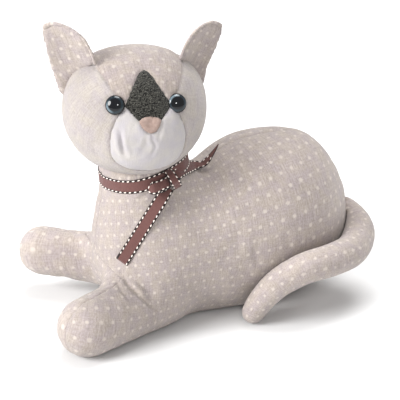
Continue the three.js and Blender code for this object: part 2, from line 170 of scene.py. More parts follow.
def skin_over(name, sources, voxel, rounds):
    """One smooth closed skin round these CAD nodes."""
    bm = bmesh.new()
    for source in sources:
        bm.from_mesh(nodes[source].data)
    mesh = bpy.data.meshes.new(name)
    bm.to_mesh(mesh)
    bm.free()
    obj = add_object(name, mesh)
    remesh = obj.modifiers.new("skin", "REMESH")
    remesh.mode, remesh.voxel_size = "VOXEL", voxel
    settle_modifiers(obj)
    with editing(obj.data) as bm:
        largest_part(bm)
    write(obj.data, smoothed(read(obj.data), edge_ends(obj.data), rounds))
    return obj


def subdivide(obj, levels):
    modifier = obj.modifiers.new("finer", "SUBSURF")
    modifier.levels = modifier.render_levels = levels
    return settle_modifiers(obj)


def joined_tree(*objs):
    """One search tree over several pieces."""
    places, faces = [], []
    for obj in objs:
        first = len(places)
        places += [v.co[:] for v in obj.data.vertices]
        faces += [[first + i for i in p.vertices] for p in obj.data.polygons]
    return BVHTree.FromPolygons(places, faces)


# Smooth lines through points
def spans(points):
    """Each stretch of a line of points, with the point before it and the one after it."""
    padded = [2 * points[0] - points[1], *points, 2 * points[-1] - points[-2]]
    return zip(padded, padded[1:], padded[2:], padded[3:])


def on_span(a, b, c, d, t):
    """The point at t, from 0 to 1, on the smooth line from b to c."""
    return 0.5 * (2 * b + (c - a) * t + (2 * a - 5 * b + 4 * c - d) * t**2 + (3 * b - a - 3 * c + d) * t**3)


# Cutting a skin into panels
SAME_PLACE = 0.25 * MM  # a cut closer than this to a vertex goes through it
CUT_REACH = 2.5  # how far past its ends a cut goes, in millimetres


def cut(bm, point, normal, chosen):
    faces = [f for f in bm.faces if chosen(f.calc_center_median())]
    geom = {*faces, *(e for f in faces for e in f.edges), *(v for f in faces for v in f.verts)}
    bmesh.ops.bisect_plane(bm, geom=list(geom), dist=SAME_PLACE, plane_co=point, plane_no=normal)


def curve_through(points, step=2.5):
    """A smooth line through [x, z] points, in short straight pieces."""
    points = [Vector(p) for p in points]
    if len(points) == 2:
        return [tuple(p) for p in points]
    line = []
    for a, b, c, d in spans(points):
        count = max(1, round((c - b).length / step))
        line += [on_span(a, b, c, d, i / count) for i in range(count)]
    return [tuple(p) for p in [*line, points[-1]]]


def inside(outline, x, z):
    found = False
    for (a, b), (c, d) in zip(outline, [*outline[1:], outline[0]]):
        if (b > z) != (d > z) and x < (c - a) * (z - b) / (d - b) + a:
            found = not found
    return found


def cut_along(bm, line, place, side):
    """Cuts the faces near a line of [x, z] points, straight through along the frame's y."""
    to_local = place.inverted()
    for (a, b), (c, d) in zip(line, line[1:]):
        middle, reach = Vector(((a + c) / 2, (b + d) / 2)), math.hypot(c - a, d - b) / 2 + CUT_REACH

        def near(p):
            q = to_local @ p / MM
            return side(q.y) and (Vector((q.x, q.z)) - middle).length < reach

        normal = place.to_3x3() @ Vector((d - b, 0, a - c)).normalized()
        cut(bm, place @ (Vector((a, 0, b)) * MM), normal, near)


def labels_of(mesh):
    label = np.empty(len(mesh.polygons), np.int32)
    mesh.polygons.foreach_get("material_index", label)
    return label


def seam_edges(mesh):
    """Whether each edge lies between two panels."""
    label, lowest, highest = labels_of(mesh), {}, {}
    for polygon in mesh.polygons:
        for key in polygon.edge_keys:
            lowest[key] = min(lowest.get(key, 99), label[polygon.index])
            highest[key] = max(highest.get(key, -1), label[polygon.index])
    return np.array([lowest.get(e.key) != highest.get(e.key) for e in mesh.edges])


# Flattening panels, so that the print and the weave follow the cloth as it was cut
NEAR_GUIDE = 0.03  # the map follows its guide this far round the guide's point
LEAST_CORNERS = 400  # or further, until this many corners are in reach


def flatten(obj, guides):
    """Gives the mesh a map in metres; guides tell for each panel a point and the two directions that the map
    follows there."""
    mesh = obj.data
    mesh.edges.foreach_set("use_seam", seam_edges(mesh))
    for other in bpy.context.selected_objects:
        other.select_set(False)
    obj.select_set(True)
    bpy.context.view_layer.objects.active = obj
    mesh.uv_layers.new(name="cloth")
    bpy.ops.object.mode_set(mode="EDIT")
    bpy.ops.mesh.select_all(action="SELECT")
    bpy.ops.uv.unwrap(method="ANGLE_BASED", margin=0.001)
    bpy.ops.object.mode_set(mode="OBJECT")
    mesh = obj.data
    layer = mesh.uv_layers["cloth"]
    flat = np.empty(len(mesh.loops) * 2)
    layer.uv.foreach_get("vector", flat)
    flat = flat.reshape(-1, 2)
    corner = np.empty(len(mesh.loops), np.int64)
    mesh.loops.foreach_get("vertex_index", corner)
    size = np.empty(len(mesh.polygons), np.int64)
    mesh.polygons.foreach_get("loop_total", size)
    label = np.repeat(labels_of(mesh), size)
    places = read(mesh)[corner]
    for panel, (at, across, up) in guides.items():
        mine = label == panel
        if not mine.any():
            continue
        gap = np.linalg.norm(places - np.array(at), axis=1)
        near = mine & (gap < max(NEAR_GUIDE, np.sort(gap[mine])[min(LEAST_CORNERS, mine.sum() - 1)]))
        target = np.stack([places[near] @ np.array(across), places[near] @ np.array(up)], 1)
        source = flat[near] - flat[near].mean(0)
        middle = target.mean(0)
        u, s, v = np.linalg.svd(source.T @ (target - middle))
        scale = s.sum() / (source**2).sum()
        turn = u @ v
        flat[mine] = (flat[mine] - flat[near].mean(0)) @ turn * scale + middle
    layer.uv.foreach_set("vector", flat.ravel())


def guide_at(place, x, y, z):
    """A guide at a point in a part's own frame, along that frame's x and z."""
    across, up = (place.to_3x3() @ Vector(way) for way in ((1, 0, 0), (0, 0, 1)))
    return place @ (Vector((x, y, z)) * MM), across, up


# Stuffing: the skin swells between its seams
SWELL_FRAMES = 20


def swell(obj, held, most):
    """Cloth under pressure, held at the given vertices; no point moves further than most."""
    mesh = obj.data
    start = read(mesh)
    group = obj.vertex_groups.new(name="held")
    for i, weight in enumerate(held):
        group.add([i], float(weight), "REPLACE")
    cloth = obj.modifiers.new("stuffing", "CLOTH")
    settings = cloth.settings
    settings.quality, settings.mass = 6, 0.3
    settings.tension_stiffness = settings.compression_stiffness = 12
    settings.shear_stiffness, settings.bending_stiffness = 6, 0.4
    settings.use_pressure, settings.uniform_pressure_force = True, 4
    settings.effector_weights.gravity = 0
    settings.vertex_group_mass = "held"
    settings.shrink_min = -0.012
    cloth.collision_settings.use_collision = False
    for number in range(SWELL_FRAMES):
        scene.frame_set(number + 1)
    graph = bpy.context.evaluated_depsgraph_get()
    after = read(obj.evaluated_get(graph).data)
    obj.modifiers.clear()
    obj.vertex_groups.clear()
    scene.frame_set(1)
    moved = after - start
    length = np.linalg.norm(moved, axis=1, keepdims=True)
    write(mesh, start + moved * np.minimum(1, most / np.maximum(length, 1e-9)))


def nearest_on(points, places):
    """For each place, how far the nearest point is, and which it is."""
    tree = KDTree(len(points))
    for i, p in enumerate(points):
        tree.insert(p, i)
    tree.balance()
    found = [tree.find(p) for p in places]
    return np.array([f[2] for f in found]), np.array([f[1] for f in found])


GROOVE, GROOVE_WIDTH = 0.5 * MM, 1.2 * MM
PUCKER_LENGTH, PUCKER_REACH = 4.2 * MM, 3.2 * MM


def work_seams(obj, puff, reach, pucker):
    """Raises each panel towards its middle, sinks it at its seams, and puckers it across them."""
    mesh = obj.data
    places, normals, ends = read(mesh), read(mesh, "normal"), edge_ends(mesh)
    border = np.unique(ends[seam_edges(mesh)])
    gap, which = nearest_on(places[border], places)
    along = np.array([noise.noise(Vector(p) / PUCKER_LENGTH) for p in places[border]])[which]
    rise = puff * (1 - np.exp(-gap / reach)) - GROOVE * np.exp(-((gap / GROOVE_WIDTH) ** 2))
    rise += pucker * along * np.exp(-gap / PUCKER_REACH)
    write(mesh, places + normals * rise[:, None])


# Photograph points, put on what is seen there
RIGHT = Vector((math.cos(AZIMUTH), math.sin(AZIMUTH), 0))
UP = RIGHT.cross(-back)


def sight(x, y):
    """The way that the camera looks at a photograph point."""
    scale = SENSOR / LENS / PICTURE
    return (-back + RIGHT * (x - PICTURE / 2) * scale - UP * (y - PICTURE / 2) * scale).normalized()


def seen_at(tree, x, y):
    return tree.ray_cast(camera.location, sight(x, y))[0]


def level_with(near, x, y):
    """The point seen at a photograph point that is as far away as another point."""
    way = sight(x, y)
    return camera.location + way * (back.dot(near - camera.location) / back.dot(way))


def dense(line, step=0.0006):
    """Points along a line of 3-D points, close together, and how far along each is, from 0 to 1."""
    line = [Vector(p) for p in line]
    total = sum((b - a).length for a, b in zip(line, line[1:]))
    points, share, gone = [], [], 0.0
    for a, b in zip(line, line[1:]):
        count = max(1, int((b - a).length / step))
        for i in range(count):
            points.append(a.lerp(b, i / count))
            share.append((gone + (b - a).length * i / count) / total)
        gone += (b - a).length
    return points, np.array(share)


def spline3(points, count=24):
    points = [Vector(p) for p in points]
    if len(points) < 3:
        return points
    return [*(on_span(*span, i / count) for span in spans(points) for i in range(count)), points[-1]]


RIDGE_AT, RIDGE_WIDTH = 2.2, 1.3  # of a fold, as shares of the width of its valley


def crease(obj, line, depth, width, lift=0.5):
    """A fold along a line: a valley with a soft ridge beside it, fading out at both ends."""
    mesh = obj.data
    places, normals = read(mesh), read(mesh, "normal")
    points, share = dense(spline3(line))
    middle = sum(points, Vector()) / len(points)
    reach = max((p - middle).length for p in points) + 6 * width
    near = np.where(np.linalg.norm(places - np.array(middle), axis=1) < reach)[0]
    gap, which = nearest_on(points, places[near])
    fade = np.sin(np.pi * np.clip(share[which], 0.03, 0.97)) ** 0.6
    valley = np.exp(-((gap / width) ** 2))
    ridge = np.exp(-(((gap - RIDGE_AT * width) / (RIDGE_WIDTH * width)) ** 2))
    places[near] += normals[near] * (depth * (lift * ridge - valley) * fade)[:, None]
    write(mesh, places)


def nudge(obj, rows):
    """Moves the cover, round what is seen at photograph points, to the right and up, within a reach."""
    tree, places = joined_tree(obj), read(obj.data)
    moves = np.zeros_like(places)
    for (x, y), (right, up), reach in rows:
        middle = np.array(seen_at(tree, x, y))
        share = np.exp(-(np.linalg.norm(places - middle, axis=1) / (reach * MM)) ** 2)
        moves += share[:, None] * np.array(RIGHT * right * MM + UP * up * MM)
    write(obj.data, places + moves)


def creases(obj, rows):
    """Folds along lines of photograph points, each with its depth and its width in millimetres."""
    tree = joined_tree(obj)
    for line, depth, width in rows:
        points = [p for p in (seen_at(tree, x, y) for x, y in line) if p is not None]
        if len(points) > 1:
            crease(obj, points, depth * MM, width * MM)


def sew(obj, turn=0.7 * MM, depth=1.6 * MM, flush=()):
    """Parts the panels, and turns their edges in, but for the flush pairs of panels."""
    with editing(obj.data) as bm:
        pairs = {e: {f.material_index for f in e.link_faces} for e in bm.edges if len(e.link_faces) == 2}
        seams = [e for e, pair in pairs.items() if len(pair) == 2 and pair not in flush]
        bmesh.ops.split_edges(bm, edges=seams)
        how = {"use_boundary": True, "use_even_offset": True, "use_interpolate": True}
        bmesh.ops.inset_region(bm, faces=bm.faces[:], thickness=turn, **how)
        border = [e for e in bm.edges if e.is_boundary]
        inward = {v: v.normal.copy() for e in border for v in e.verts}
        made = bmesh.ops.extrude_edge_only(bm, edges=border)["geom"]
        tree, olds = KDTree(len(inward)), list(inward)
        for i, v in enumerate(olds):
            tree.insert(v.co, i)
        tree.balance()
        for v in made:
            if isinstance(v, bmesh.types.BMVert):
                v.co -= inward[olds[tree.find(v.co)[1]]] * depth
    obj.data.shade_smooth()


def panel_piece(obj, label, name):
    """The faces of one panel as a piece of its own."""
    mesh = obj.data.copy()
    with editing(mesh) as bm:
        bmesh.ops.delete(bm, geom=[f for f in bm.faces if f.material_index != label], context="FACES")
    return add_object(name, mesh)


def face_outward(mesh):
    with editing(mesh) as bm:
        bmesh.ops.recalc_face_normals(bm, faces=bm.faces[:])


def dress(obj, finish, node):
    """One material all over; the piece goes under the root, and the node that it stands for is hidden."""
    mesh = obj.data
    mesh.materials.clear()
    mesh.materials.append(finish)
    mesh.polygons.foreach_set("material_index", np.zeros(len(mesh.polygons), np.int32))
    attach(obj, "root")
    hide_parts(node)


# Materials
def linear(red, green, blue):
    """A colour as the picture shows it, from 0 to 255, in the values that the shader takes."""
    shares = [c / 255 for c in (red, green, blue)]
    return (*(v / 12.92 if v < 0.04045 else ((v + 0.055) / 1.055) ** 2.4 for v in shares), 1)


class Cloth:
    """A material in the making, with short calls for its nodes."""

    def __init__(self, name):
        self.material = bpy.data.materials.new(name)
        self.material.use_nodes = True
        self.tree = self.material.node_tree
        self.shader = self.tree.nodes["Principled BSDF"]

    def node(self, kind, inputs=(), out=0, **settings):
        made = self.tree.nodes.new("ShaderNode" + kind)
        for key, value in settings.items():
            setattr(made, key, value)
        for key, value in dict(inputs).items():
            if isinstance(value, bpy.types.NodeSocket):
                self.tree.links.new(value, made.inputs[key])
            else:
                made.inputs[key].default_value = value
        return made.outputs[out]

    def sum(self, operation, *values):
        return self.node("Math", {i: v for i, v in enumerate(values)}, operation=operation)

    def vector(self, operation, *values):
        out = 1 if operation in ("DOT_PRODUCT", "LENGTH", "DISTANCE") else 0
        return self.node("VectorMath", {i: v for i, v in enumerate(values)}, out, operation=operation)

    def scaled(self, vector, factor):
        return self.node("VectorMath", {0: vector, "Scale": factor}, operation="SCALE")

    def on_cloth(self):
        """The place on the flat cloth, in millimetres."""
        return self.vector("MULTIPLY", self.node("UVMap", uv_map="cloth"), (1000, 1000, 1000))

    def in_space(self):
        """The place in the piece's own space, in millimetres."""
        return self.vector("MULTIPLY", self.node("TexCoord", out=3), (1000, 1000, 1000))

    def noise(self, place, size, detail=2.0, rough=0.5, out=0):
        scaled = self.vector("DIVIDE", place, size if isinstance(size, tuple) else (size, size, size))
        return self.node("TexNoise", {"Vector": scaled, "Scale": 1.0, "Detail": detail, "Roughness": rough}, out)

    def ramp(self, value, low, high, low_to=0.0, high_to=1.0):
        names = ("Value", "From Min", "From Max", "To Min", "To Max")
        inputs = dict(zip(names, (value, low, high, low_to, high_to)))
        return self.node("MapRange", inputs, interpolation_type="SMOOTHSTEP")

    def vary(self, noise, low_to=0.0, high_to=1.0):
        """Noise, whose usual range is from 0.3 to 0.7, spread between two values."""
        return self.ramp(noise, 0.3, 0.7, low_to, high_to)

    def mix(self, share, one, other, blend="MIX"):
        made = self.tree.nodes.new("ShaderNodeMix")
        made.data_type, made.blend_type = "RGBA", blend
        for key, value in ((0, share), (6, one), (7, other)):
            if isinstance(value, bpy.types.NodeSocket):
                self.tree.links.new(value, made.inputs[key])
            else:
                made.inputs[key].default_value = value
        return made.outputs[2]

    def tone(self, colour, value):
        """The colour, made lighter or darker by a value round 1."""
        grey = self.node("CombineColor", {0: value, 1: value, 2: value})
        return self.mix(1.0, colour, grey, "MULTIPLY")

    def finish(self, colour, roughness, height=None, distance=0.0002, **fixed):
        inputs = self.shader.inputs
        for socket, value in (("Base Color", colour), ("Roughness", roughness)):
            if isinstance(value, bpy.types.NodeSocket):
                self.tree.links.new(value, inputs[socket])
            else:
                inputs[socket].default_value = value
        if height is not None:
            bump = self.node("Bump", {"Strength": 1.0, "Distance": distance, "Height": height})
            self.tree.links.new(bump, inputs["Normal"])
        for key, value in fixed.items():
            inputs[key.replace("_", " ")].default_value = value
        return self.material


SHEEN = {"Sheen_Weight": 0.25, "Sheen_Roughness": 0.5, "Specular_IOR_Level": 0.2}


def weave(c, place, pitch):
    """The height of a plain weave, whose threads lie pitch apart."""
    way = 2 * math.pi / (2 * pitch)
    parts = c.node("SeparateXYZ", {0: c.vector("MULTIPLY", place, (way, way, way))}, 0).node
    across, along = c.sum("SINE", parts.outputs[0]), c.sum("SINE", parts.outputs[1])
    return c.sum("MULTIPLY_ADD", c.sum("MULTIPLY", across, along), 0.5, 0.5)


def slubs(c, place):
    """The thicker and thinner threads of linen, both ways, round 0.5."""
    warp = c.noise(place, (0.75, 16, 1), 2.5, 0.6)
    weft = c.noise(place, (14, 0.8, 1), 2.0, 0.55)
    return c.sum("ADD", c.sum("MULTIPLY", warp, 0.66), c.sum("MULTIPLY", weft, 0.34))


def linen(name, colour, streaks, dots=None):
    c = Cloth(name)
    place = c.on_cloth()
    slub = slubs(c, place)
    cloudy = c.noise(place, 26, 2)
    mottle = c.noise(place, (1.0, 1.6, 1), 1.5, 0.5)
    shade = c.sum("ADD", c.vary(slub, 1 - streaks, 1 + streaks), c.vary(cloudy, -0.03, 0.03))
    shade = c.sum("ADD", shade, c.vary(mottle, -0.6 * streaks, 0.6 * streaks))
    cooler = linear(colour[0] - 5, colour[1] - 5, colour[2] + 1)
    tinted = c.mix(c.ramp(c.noise(place, 9, 3), 0.35, 0.65), linear(*colour), cooler)
    shown = c.tone(tinted, shade)
    if dots:
        shown = c.mix(dotted(c, place), shown, c.tone(linear(*dots), c.vary(slub, 0.97, 1.03)))
    height = c.sum("ADD", weave(c, place, 0.55), c.sum("MULTIPLY", slub, 1.6))
    return c.finish(shown, c.vary(slub, 0.93, 0.85), height, 0.00022, **SHEEN)


DOT_ROWS = ((8.5, 0.9), (-3.1, 9.6))  # from one printed dot to its neighbours, in millimetres
DOT_RADIUS, DOT_SPREAD, DOT_EDGE, DOT_INK = 1.25, 0.16, 0.6, 0.88


def dotted(c, place):
    """Where the printed dots are: round, soft at the edge, none quite like the next."""
    (a, b), (d, e) = DOT_ROWS
    area = a * e - b * d
    wobble = c.vector("SUBTRACT", c.noise(place, 1.3, 1.0, 0.5, out=1), (0.5, 0.5, 0.5))
    moved = c.vector("ADD", place, c.scaled(wobble, 1.1))
    one = c.vector("DOT_PRODUCT", moved, (e / area, -d / area, 0))
    two = c.vector("DOT_PRODUCT", moved, (-b / area, a / area, 0))
    cell = c.node("CombineXYZ", {0: c.sum("FLOOR", one), 1: c.sum("FLOOR", two), 2: 0.5})
    jitter = c.node("TexWhiteNoise", {"Vector": cell}, noise_dimensions="3D")
    from_one = c.sum("SUBTRACT", c.sum("FRACT", one), 0.5)
    from_two = c.sum("SUBTRACT", c.sum("FRACT", two), 0.5)
    away = c.vector("LENGTH", c.vector("ADD", c.scaled((a, b, 0), from_one), c.scaled((d, e, 0), from_two)))
    edge = c.ramp(jitter, 0.0, 1.0, DOT_RADIUS - DOT_SPREAD, DOT_RADIUS + DOT_SPREAD)
    return c.ramp(c.sum("SUBTRACT", edge, away), -DOT_EDGE, DOT_EDGE, 0.0, DOT_INK)


dotted_linen = linen("printed_linen", (170, 159, 151), 0.16, dots=(196, 186, 178))
crown_linen = linen("crown_linen", (160, 149, 141), 0.16, dots=(181, 171, 163))
plain_linen = linen("plain_linen", (168, 160, 153), 0.12)
muzzle_cotton = linen("muzzle_cotton", (182, 177, 174), 0.03)


def tweed():
    c = Cloth("tweed")
    place = c.on_cloth()
    warp = c.ramp(c.noise(place, (0.85, 3.4, 1), 1, 0.5), 0.45, 0.55)
    weft = c.ramp(c.noise(place, (2.4, 0.85, 1), 1, 0.5), 0.53, 0.62)
    fleck = c.ramp(c.noise(place, (0.8, 1.1, 1), 1, 0.5), 0.57, 0.65)
    dark = c.mix(warp, linear(14, 13, 12), linear(50, 49, 45))
    both = c.mix(weft, dark, linear(72, 71, 65))
    shown = c.mix(c.sum("MULTIPLY", fleck, 0.5), both, linear(122, 120, 112))
    height = c.sum("ADD", weave(c, place, 0.9), c.sum("ADD", warp, weft))
    return c.finish(shown, 0.95, height, 0.0003, Sheen_Weight=0.15, Specular_IOR_Level=0.1)


def felt(name, colour):
    c = Cloth(name)
    place = c.on_cloth()
    hairs = c.noise(place, 0.5, 4, 0.7)
    darker = linear(*[v - 12 for v in colour])
    patchy = c.mix(c.vary(c.noise(place, 3, 2)), linear(*colour), darker)
    shown = c.tone(patchy, c.vary(hairs, 0.93, 1.07))
    sheen = {"Sheen_Weight": 0.4, "Sheen_Roughness": 0.4, "Specular_IOR_Level": 0.15}
    return c.finish(shown, 0.95, hairs, 0.0003, **sheen)


nose_felt = felt("nose_felt", (160, 139, 130))
base_cloth = linen("base_canvas", (160, 148, 140), 0.07)

# The body: two flanks, and a gusset between the forelegs
LEFT, RIGHT_SIDE, GUSSET = 0, 1, 2
NECK_FOOT = 0.125  # above it the body meets the head
SPLAY = math.radians(27)
legs = [(spot(-58, side * 31, 0), Vector((math.sin(SPLAY), side * math.cos(SPLAY), 0)), side) for side in (-1, 1)]
chest_line = (spot(-85, 0, 54), Vector((0.5, 0, 1)).normalized())
BEHIND_CHEST = spot(-60, 0, 0)


def body_panel(p):
    in_front = p.x < BEHIND_CHEST.x and (p - chest_line[0]).dot(chest_line[1]) < 0
    if in_front and all((p - root).dot(out) < 0 for root, out, _ in legs):
        return GUSSET
    return LEFT if p.y < SHIFT.y else RIGHT_SIDE


def make_body():
    obj = skin_over("cover", ["body", "weight_bag", "base_panel", "head"], 3.4 * MM, 9)
    head_tree, body_tree = joined_tree(nodes["head"]), joined_tree(nodes["body"])

    def in_head(p):
        return p.z > NECK_FOOT and head_tree.find_nearest(p)[3] < body_tree.find_nearest(p)[3]

    with editing(obj.data) as bm:
        bmesh.ops.delete(bm, geom=[f for f in bm.faces if in_head(f.calc_center_median())], context="FACES")
        largest_part(bm)
        cut(bm, spot(0, 0, 0), Vector((0, 1, 0)), lambda p: abs(p.y - SHIFT.y) < 0.01)
        for root, out, side in legs:
            cut(bm, root, out, lambda p: p.x < -0.058 and p.y * side > 0 and p.z < 0.08)
        cut(bm, *chest_line, lambda p: p.x < -0.055 and abs(p.y) < 0.06 and p.z < 0.09)
        cut(bm, BEHIND_CHEST, Vector((1, 0, 0)), lambda p: p.z < 0.03)
        for f in bm.faces:
            f.material_index = body_panel(f.calc_center_median())
    flatten(
        obj,
        {
            LEFT: (spot(10, -60, 75), (1, 0, 0), (0, 0, 1)),
            RIGHT_SIDE: (spot(10, 60, 75), (-1, 0, 0), (0, 0, 1)),
            GUSSET: (spot(-90, 0, 30), (0, 1, 0), (0, 0, 1)),
        },
    )
    return obj


body = make_body()
NEAR_FLOOR, NEAR_TAIL = 4 * MM, 7 * MM  # where the body's cloth is held
places = read(body.data)
held = np.zeros(len(places))
held[np.unique(edge_ends(body.data)[seam_edges(body.data)])] = 1
held[places[:, 2] < NEAR_FLOOR] = 1
held[nearest_on(read(nodes["tail"].data), places)[0] < NEAR_TAIL] = 1
swell(body, held, 2.5 * MM)
nudge(body, [((304, 139), (2.5, 3.5), 26), ((341, 190), (-3.0, 0.5), 30), ((258, 131), (0.5, -1.2), 20)])
subdivide(body, 1)
work_seams(body, 0.3 * MM, 6 * MM, 0.35 * MM)
creases(
    body,
    [
        ([(121, 273), (130, 286), (143, 299), (156, 311)], 1.5, 1.5),
        ([(116, 279), (121, 290), (130, 302)], 1.0, 1.4),
        ([(127, 272), (140, 284), (152, 292)], 0.5, 1.6),
        ([(149, 193), (142, 196.5), (135, 201)], 1.3, 1.3),
        ([(146, 197), (139, 202), (133, 209)], 0.5, 1.3),
        ([(180, 196), (192, 205), (205, 210)], 0.5, 2.0),
    ],
)
places = read(body.data)
places[:, 2] = np.maximum(places[:, 2], 0.0)
write(body.data, places)
sew(body, 0.5 * MM, 1.4 * MM)
body.name = "body_cover"
dress(body, dotted_linen, "body")

# The head
HEAD = (
    Matrix.Translation(spot(-58, 0, 187))
    @ Matrix.Rotation(math.radians(-5), 4, "Z")
    @ Matrix.Rotation(math.radians(2.5), 4, "Y")
)
CHEEKS, CROWN, BRIDGE, MUZZLE, NOSE = range(5)
CORNER, NOSTRIL, BROW_TOP, NOSE_TIP = (19.4, 20.8), (9.3, 10.8), (0, 45), (0, 1.5)
BROW = curve_through([CORNER, (26.5, 29.5), (31.5, 37.5), (36.5, 43)])
JAW = curve_through(
    [CORNER, (25.5, 13), (30.5, 0.5), (31.5, -12), (27.5, -25), (16, -32.5), (0, -34.5), (-16, -32.5)]
)
JAW = JAW[: JAW.index(min(JAW, key=lambda p: abs(p[0]))) + 1]
BACK_EDGE = [(36, 70), (36.5, 43), (25, -24)]


def mirrored(right):
    return [*right, *((-x, z) for x, z in reversed(right) if abs(x) > 0.01)]


def front(y):
    return y < 1


def behind(y):
    return y > -1


KITES = {
    1: curve_through([(0, 45.0), (2.8, 44.2), (6.2, 40.2), (10.6, 33.6), (15.2, 26.8), CORNER]),
    -1: curve_through([(0, 45.0), (3.0, 44.4), (7.6, 40.2), (12.4, 33.4), (16.4, 27), CORNER]),
}
NOSE_SIDE = curve_through([NOSE_TIP, (3.8, 2.6), (7.6, 6.4), NOSTRIL, (6.6, 13.0), (0, 13.9)])
outlines = {
    NOSE: mirrored(NOSE_SIDE),
    BRIDGE: [*KITES[1], NOSTRIL, *((-x, z) for x, z in [NOSTRIL, *reversed(KITES[-1])])],
    MUZZLE: mirrored([NOSE_TIP, NOSTRIL, *JAW]),
    CROWN: mirrored([BROW_TOP, *BROW, (36, 70)]),
}
crown_back = mirrored(BACK_EDGE)


def head_panel(p):
    x, y, z = HEAD.inverted() @ p / MM
    if y < 0:
        return next((k for k, outline in outlines.items() if inside(outline, x, z)), CHEEKS)
    return CROWN if inside(crown_back, x, z) else CHEEKS


def make_head():
    obj = skin_over("skull", ["head", "crown_panel", "bridge_panel", "muzzle_panel"], 2.8 * MM, 9)
    with editing(obj.data) as bm:
        for side in (-1, 1):
            for line in (KITES[side], [CORNER, NOSTRIL], NOSE_SIDE, BROW, JAW, BACK_EDGE[:2]):
                cut_along(bm, [(side * x, z) for x, z in line], HEAD, front)
            cut_along(bm, [(side * x, z) for x, z in BACK_EDGE], HEAD, behind)
        cut_along(bm, [(-25, -24), (25, -24)], HEAD, behind)
        for f in bm.faces:
            f.material_index = head_panel(f.calc_center_median())
    flatten(
        obj,
        {
            CHEEKS: guide_at(HEAD, -40, -30, -20),
            CROWN: guide_at(HEAD, 0, -40, 48),
            BRIDGE: guide_at(HEAD, 0, -50, 28),
            MUZZLE: guide_at(HEAD, 0, -60, -10),
            NOSE: guide_at(HEAD, 0, -60, 10),
        },
    )
    return obj


skull = make_head()
held = np.zeros(len(skull.data.vertices))
held[np.unique(edge_ends(skull.data)[seam_edges(skull.data)])] = 1
swell(skull, held, 1.5 * MM)
subdivide(skull, 2)
work_seams(skull, 0.5 * MM, 5 * MM, 0.2 * MM)
creases(
    skull,
    [
        ([(119.5, 131), (120.8, 138), (122, 146), (125.5, 156)], 2.0, 1.8),
        ([(163, 121), (159.6, 134.6), (157, 143)], 0.6, 1.5),
        ([(157, 133), (153.5, 140), (155.5, 147), (151.4, 156)], 0.6, 1.3),
        ([(151.5, 133.5), (151.8, 141)], 0.4, 1.0),
        ([(98, 66), (104, 76), (110, 88)], 0.7, 1.3),
    ],
)
NOSE_STANDS, NOSE_EDGE = 2.2 * MM, 2.2 * MM
places, normals = read(skull.data), read(skull.data, "normal")
border = np.unique(edge_ends(skull.data)[seam_edges(skull.data)])
on_nose = np.zeros(len(places), bool)
for polygon in skull.data.polygons:
    if polygon.material_index == NOSE:
        on_nose[list(polygon.vertices)] = True
gap = nearest_on(places[border], places)[0]
rise = np.where(on_nose, NOSE_STANDS * (1 - np.exp(-gap / NOSE_EDGE)), 0)
write(skull.data, places + normals * rise[:, None])
sew(skull, 0.4 * MM, 1.2 * MM, [{CROWN, CHEEKS}])
head_pieces = {}
for label, name, node, slot, finish in (
    (CHEEKS, "cheeks", "head", "plain_linen", plain_linen),
    (CROWN, "crown", "crown_panel", "dotted_linen", crown_linen),
    (BRIDGE, "bridge", "bridge_panel", "tweed", tweed()),
    (MUZZLE, "muzzle", "muzzle_panel", "muzzle_cotton", muzzle_cotton),
    (NOSE, "nose_pad", "nose", "nose_felt", nose_felt),
):
    head_pieces[name] = panel_piece(skull, label, name)
    dress(head_pieces[name], finish, node)
bpy.data.objects.remove(skull)
head_tree = joined_tree(*(head_pieces[k] for k in ("cheeks", "crown", "bridge", "muzzle")))


def even(values, rounds):
    """Evens out a list of vectors along its length."""
    for _ in range(rounds):
        inner = [(a + 2 * b + c) / 4 for a, b, c in zip(values, values[1:], values[2:])]
        values = [values[0], *inner, values[-1]]
    return values


def seat(obj, tree, reach, sink, chosen=lambda p: True):
    """Draws the end of a piece into the one that it is sewn to."""
    places = read(obj.data)
    for i, p in enumerate(places):
        found, normal, _, gap = tree.find_nearest(Vector(p), reach * 2)
        if found is not None and chosen(p):
            gap = (Vector(p) - found).dot(normal)
            if gap < reach:
                places[i] = Vector(p) - normal * sink * min(1, (reach - gap) / reach * 1.6)
    write(obj.data, places)


seat(body, head_tree, 3.5 * MM, 3 * MM, lambda p: p[2] > NECK_FOOT)
body_tree = joined_tree(body)

# The ears: a front panel set inside the rim of the back one
EAR_ROWS = np.array(
    [
        (-16, -15, 19),
        (-4, -16, 21.5),
        (10, -15.5, 24.5),
        (25, -13.5, 26.5),
        (38, -10.5, 24.5),
        (48, -8, 17),
        (53.5, -5, 7),
    ]
)
EAR_RIM = (1.0, 3.4)  # how far the front panel stays from the outer and from the inner edge
EAR_LEVELS, EAR_TOP = (-20, -4, 10, 25, 38, 45.5, 49.5), 51.2  # of the front panel's outline
EAR_FOOT, EAR_LEAN, EAR_TURN = Vector((-50, 5, 25)), math.radians(-24), math.radians(-12)
EAR_CUP, EAR_LEVEL, EAR_HALF = 7, 0.4, 18
ROLL_AT, SLIM_AT, SLIM_REACH = 2, 18, 24


def ear_edge(up):
    return np.interp(up, EAR_ROWS[:, 0], EAR_ROWS[:, 1]), np.interp(up, EAR_ROWS[:, 0], EAR_ROWS[:, 2])


def roll_ear(obj, place, roll, slim, stretch):
    """Brings an ear's inner edge forward and its outer edge in, and makes it taller, each by a share."""
    places, to_local = read(obj.data), place.inverted()
    for i, p in enumerate(places):
        x, y, z = to_local @ Vector(p) / MM
        if x < 0:
            x *= 1 - slim * math.exp(-(((z - SLIM_AT) / SLIM_REACH) ** 2))
        y -= roll * (x - ROLL_AT) * min(1, max(0, z / SLIM_REACH + 0.5))
        z += stretch * max(0, z)
        places[i] = place @ (Vector((x, y, z)) * MM)
    write(obj.data, places)


